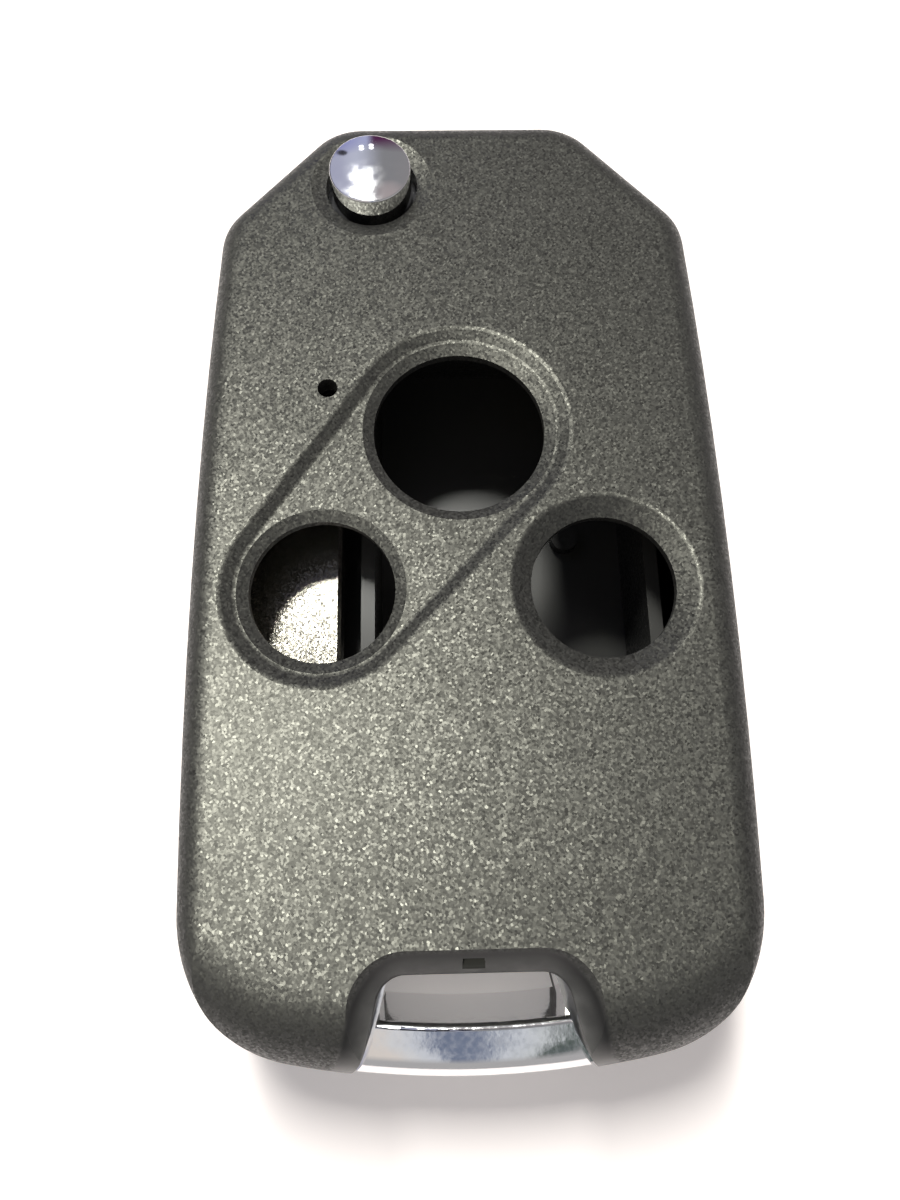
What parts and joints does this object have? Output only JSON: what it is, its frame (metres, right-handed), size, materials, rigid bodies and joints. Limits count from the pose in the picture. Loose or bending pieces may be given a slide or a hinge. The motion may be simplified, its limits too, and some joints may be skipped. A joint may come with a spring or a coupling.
{
  "type": "flip key remote shell",
  "caption": "Empty folding key shell: textured black case with round button windows, spring-out uncut blade, chrome release button and chrome key ring frame.",
  "frame": {"origin": "on the underside, below the middle of the case's length and width", "axes": "+Z out of the button face, +Y to the head end with the blade's pivot, -Y to the key ring end"},
  "size_m": [0.0366, 0.068, 0.0168],
  "materials": {
    "case_plastic": "spark-eroded texture, black",
    "chrome_trim": "mirror polished plating",
    "hub_zinc": "die-cast zinc, satin nickel",
    "blade_nickel_silver": "nickel silver, milled flat",
    "spring_steel": "bright steel wire",
    "screw_steel": "blackened steel",
    "inner_nylon": "moulded nylon"
  },
  "bodies": {
    "case": {"front_cover": "case_plastic", "rear_cover": "case_plastic", "key_ring_loop": "chrome_trim", "spring_anchor": "inner_nylon", "flip_spring": "spring_steel", "case_screw_1": "screw_steel", "case_screw_2": "screw_steel", "case_screw_3": "screw_steel"},
    "hub": {"flip_hub": "hub_zinc", "key_blade": "blade_nickel_silver", "blade_roll_pin": "spring_steel"},
    "button": {"release_button": "chrome_trim", "button_plunger": "inner_nylon"}
  },
  "joints": [
    {"name": "blade_flip", "type": "hinge", "parent": "case", "child": "hub", "pos_m": [-0.00615, 0.02775, 0.0075], "axis": [0, 0, -1], "range_deg": [0, 180]},
    {"name": "button_press", "type": "slide", "parent": "hub", "child": "button", "axis": [0, 0, -1], "range_m": [0, 0.0015], "stiffness_N_per_m": 800, "deforming": ["flip_spring"]}
  ]
}
